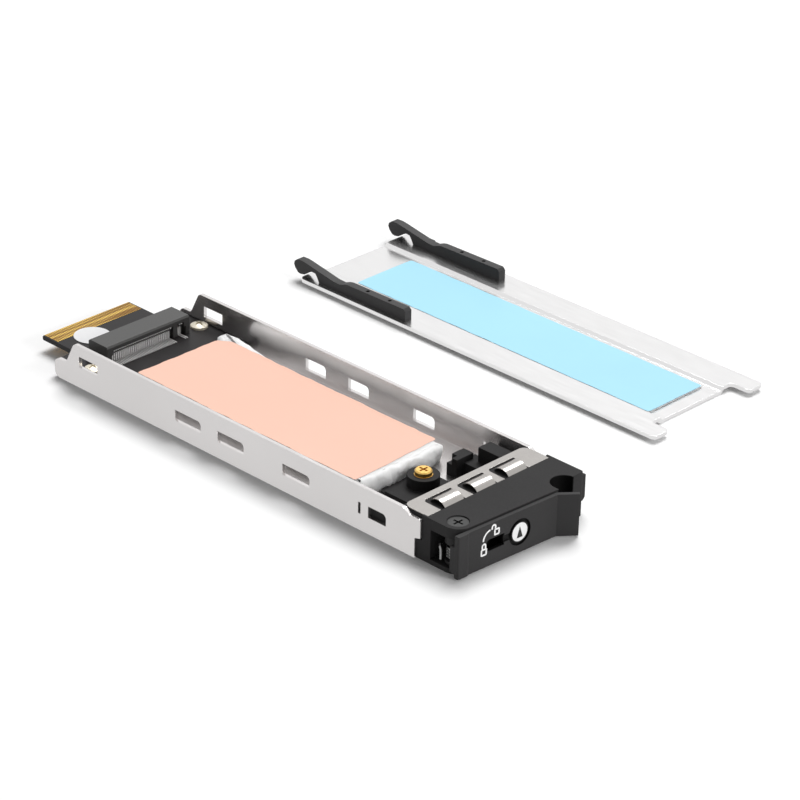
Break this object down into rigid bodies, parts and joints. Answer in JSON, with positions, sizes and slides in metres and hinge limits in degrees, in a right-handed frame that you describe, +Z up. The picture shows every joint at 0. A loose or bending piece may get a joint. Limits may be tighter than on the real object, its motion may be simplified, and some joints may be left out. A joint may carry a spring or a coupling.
{
  "type": "drive tray with adapter card",
  "caption": "Slide-in tray with a small edge-connector adapter card, drive socket, thermal pad, latching eject handle and its separate lid.",
  "frame": {"origin": "on the resting plane, mid-width of the tray, at the front end of the tray walls' lower edge", "axes": "+Y along the tray from the front handle to the card edge, +Z up out of the open tray, +X across towards the loose lid"},
  "size_m": [0.0987, 0.1262, 0.0101],
  "materials": {
    "plated_steel": "light grey plated sheet, satin",
    "black_board": "black solder mask, satin",
    "gold": "gold plated copper",
    "nickel": "bright nickel",
    "black_plastic": "moulded black plastic, fine matt texture",
    "paper": "white paper, matt",
    "white_gel": "soft white thermal gel",
    "peach_film": "peach release film, smooth",
    "cyan_film": "pale blue release film, smooth",
    "brass_insert": "turned brass",
    "spring_steel": "bright spring sheet",
    "black_steel": "black oxide",
    "white_metal": "light satin face with a dark engraved arrow",
    "lid_metal": "light plated sheet, satin"
  },
  "bodies": {
    "tray": {"tray_pan": "plated_steel", "adapter_board": "black_board", "edge_contacts": "gold", "board_screw_rings": "nickel", "board_screws": "nickel", "drive_socket": "black_plastic", "drive_socket_contacts": "gold", "thermal_pad": "white_gel", "pad_film": "peach_film", "round_label": "paper", "drive_boss": "black_plastic", "boss_insert": "brass_insert", "drive_screw": "brass_insert", "front_bezel": "black_plastic", "spring_strip": "spring_steel", "pivot_screw": "black_steel", "lid_plate": "lid_metal", "lid_pad": "white_gel", "lid_pad_film": "cyan_film", "lid_rail_left": "black_plastic", "lid_rail_right": "black_plastic"},
    "handle": {"eject_handle": "black_plastic", "handle_spring": "nickel"},
    "lock": {"lock_rotor": "white_metal"},
    "catch": {"side_catch": "black_plastic"}
  },
  "joints": [
    {"name": "handle_hinge", "type": "hinge", "parent": "tray", "child": "handle", "pos_m": [-0.0136, -0.0074, 0.0046], "axis": [0, 0, -1], "range_deg": [0, 80]},
    {"name": "lock_turn", "type": "hinge", "parent": "handle", "child": "lock", "pos_m": [-0.00202, -0.00815, 0.0046], "axis": [-0.0645, -0.9979, 0], "range_deg": [0, 90]},
    {"name": "catch_slide", "type": "slide", "parent": "tray", "child": "catch", "axis": [-1, 0, 0], "range_m": [0, 0.0011]}
  ]
}
